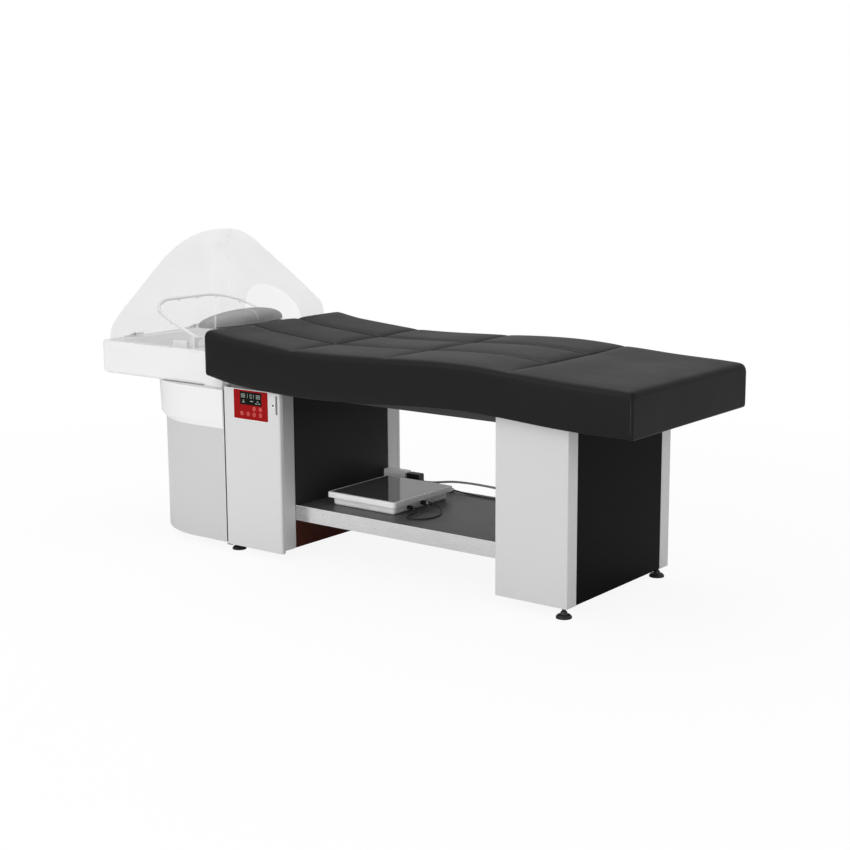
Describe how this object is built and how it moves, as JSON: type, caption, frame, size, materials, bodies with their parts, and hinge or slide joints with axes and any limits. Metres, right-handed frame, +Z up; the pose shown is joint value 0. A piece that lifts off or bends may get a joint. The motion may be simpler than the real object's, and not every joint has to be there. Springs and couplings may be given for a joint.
{
  "type": "hair washing bed",
  "caption": "Salon head-spa bed: quilted black mattress on two pale pedestals, white basin with spray arch under a clear hinged hood, tank housing, cabinet with red control panel, and a shelf.",
  "frame": {"origin": "on the floor under the middle of the bed's length and width", "axes": "+X towards the foot end of the mattress, +Y towards the side away from the cabinet door, +Z up"},
  "size_m": [2.23, 0.684, 1.068],
  "materials": {
    "black_leatherette": "satin",
    "plywood": "matte",
    "dark_steel": "satin",
    "edge_steel": "brushed",
    "pale_board": "satin",
    "black_board": "gloss",
    "white_board": "satin",
    "dark_glass": "gloss",
    "zinc_steel": "satin",
    "lock_chrome": "polished",
    "red_plate": "gloss",
    "display_glass": "gloss",
    "black_plastic": "matte",
    "white_shell": "gloss",
    "basin_white": "gloss",
    "grey_plastic": "satin",
    "grey_rubber": "matte",
    "clear_grey_plastic": "gloss",
    "clear_acrylic": "clear gloss",
    "white_plastic": "satin",
    "smoke_glass": "gloss",
    "cable_black": "matte",
    "tank_plastic": "matte",
    "brushed_steel": "brushed",
    "pipe_steel": "satin",
    "key_rubber": "matte",
    "foot_black": "matte"
  },
  "bodies": {
    "bed": {"adapter_cable": "cable_black", "arch_swivels": "grey_plastic", "basin_bowl": "basin_white", "basin_brackets": "zinc_steel", "basin_tray": "white_shell", "bed_rails": "dark_steel", "bowl_strainer": "lock_chrome", "cable_coupler": "lock_chrome", "circulation_pump": "black_plastic", "coupled_cable": "cable_black", "deck_bearers": "plywood", "door_frame": "pale_board", "door_pivots": "zinc_steel", "drain_pipe": "tank_plastic", "far_cover_panel": "white_board", "foot_boards": "black_board", "foot_end_panel": "black_board", "foot_far_slab": "pale_board", "foot_inner_panel": "black_board", "foot_near_slab": "pale_board", "head_boards": "black_board", "head_far_slab": "pale_board", "head_inner_panel": "black_board", "head_outer_panel": "black_board", "hood_hinges": "lock_chrome", "housing_apron": "white_shell", "link_cable": "cable_black", "link_plug": "black_plastic", "mattress": "black_leatherette", "mattress_deck": "plywood", "neck_pillow": "grey_rubber", "neck_support": "basin_white", "power_adapter": "black_plastic", "rim_fitting": "grey_plastic", "shelf_board": "dark_glass", "shelf_edge_rails": "edge_steel", "shelf_unit_case": "white_plastic", "shelf_unit_glass": "smoke_glass", "socket_box": "white_plastic", "supply_pipe": "pipe_steel", "tank_housing": "white_shell", "water_heater": "brushed_steel", "water_tank": "tank_plastic"},
    "hood": {"hood": "clear_acrylic"},
    "cabinet_door": {"cabinet_door": "white_board", "control_plate": "red_plate", "display_window": "display_glass", "control_box": "black_plastic"},
    "cam_lock": {"cam_lock": "lock_chrome"},
    "spray_arch": {"spray_arch": "clear_grey_plastic"},
    "key_1": {"key_1": "key_rubber"},
    "key_2": {"key_2": "key_rubber"},
    "key_3": {"key_3": "key_rubber"},
    "key_4": {"key_4": "key_rubber"},
    "key_5": {"key_5": "key_rubber"},
    "key_6": {"key_6": "key_rubber"},
    "levelling_foot_1": {"levelling_foot_1": "foot_black"},
    "levelling_foot_2": {"levelling_foot_2": "foot_black"},
    "levelling_foot_3": {"levelling_foot_3": "foot_black"},
    "levelling_foot_4": {"levelling_foot_4": "foot_black"}
  },
  "joints": [
    {"name": "hood_flip", "type": "hinge", "parent": "bed", "child": "hood", "pos_m": [-1.078, 0, 0.684], "axis": [0, -1, 0], "range_deg": [0, 90]},
    {"name": "door_swing", "type": "hinge", "parent": "bed", "child": "cabinet_door", "pos_m": [-0.472, -0.309, 0.3], "axis": [0, 0, -1], "range_deg": [0, 90]},
    {"name": "lock_turn", "type": "hinge", "parent": "cabinet_door", "child": "cam_lock", "pos_m": [-0.251, -0.309, 0.526], "axis": [0, -1, 0], "range_deg": [0, 90]},
    {"name": "arch_tilt", "type": "hinge", "parent": "bed", "child": "spray_arch", "pos_m": [-0.688, 0, 0.705], "axis": [0, 1, 0], "range_deg": [-15, 15]},
    {"name": "key_1_press", "type": "slide", "parent": "cabinet_door", "child": "key_1", "axis": [0, 1, 0], "range_m": [0, 0.0005], "stiffness_N_per_m": 400},
    {"name": "key_2_press", "type": "slide", "parent": "cabinet_door", "child": "key_2", "axis": [0, 1, 0], "range_m": [0, 0.0005], "stiffness_N_per_m": 400},
    {"name": "key_3_press", "type": "slide", "parent": "cabinet_door", "child": "key_3", "axis": [0, 1, 0], "range_m": [0, 0.0005], "stiffness_N_per_m": 400},
    {"name": "key_4_press", "type": "slide", "parent": "cabinet_door", "child": "key_4", "axis": [0, 1, 0], "range_m": [0, 0.0005], "stiffness_N_per_m": 400},
    {"name": "key_5_press", "type": "slide", "parent": "cabinet_door", "child": "key_5", "axis": [0, 1, 0], "range_m": [0, 0.0005], "stiffness_N_per_m": 400},
    {"name": "key_6_press", "type": "slide", "parent": "cabinet_door", "child": "key_6", "axis": [0, 1, 0], "range_m": [0, 0.0005], "stiffness_N_per_m": 400},
    {"name": "levelling_foot_1_turn", "type": "hinge", "parent": "bed", "child": "levelling_foot_1", "pos_m": [0.855, -0.274, 0.03], "axis": [0, 0, 1], "continuous": true},
    {"name": "levelling_foot_2_turn", "type": "hinge", "parent": "bed", "child": "levelling_foot_2", "pos_m": [0.855, 0.274, 0.03], "axis": [0, 0, 1], "continuous": true},
    {"name": "levelling_foot_3_turn", "type": "hinge", "parent": "bed", "child": "levelling_foot_3", "pos_m": [-0.465, -0.274, 0.03], "axis": [0, 0, 1], "continuous": true},
    {"name": "levelling_foot_4_turn", "type": "hinge", "parent": "bed", "child": "levelling_foot_4", "pos_m": [-0.465, 0.274, 0.03], "axis": [0, 0, 1], "continuous": true}
  ]
}
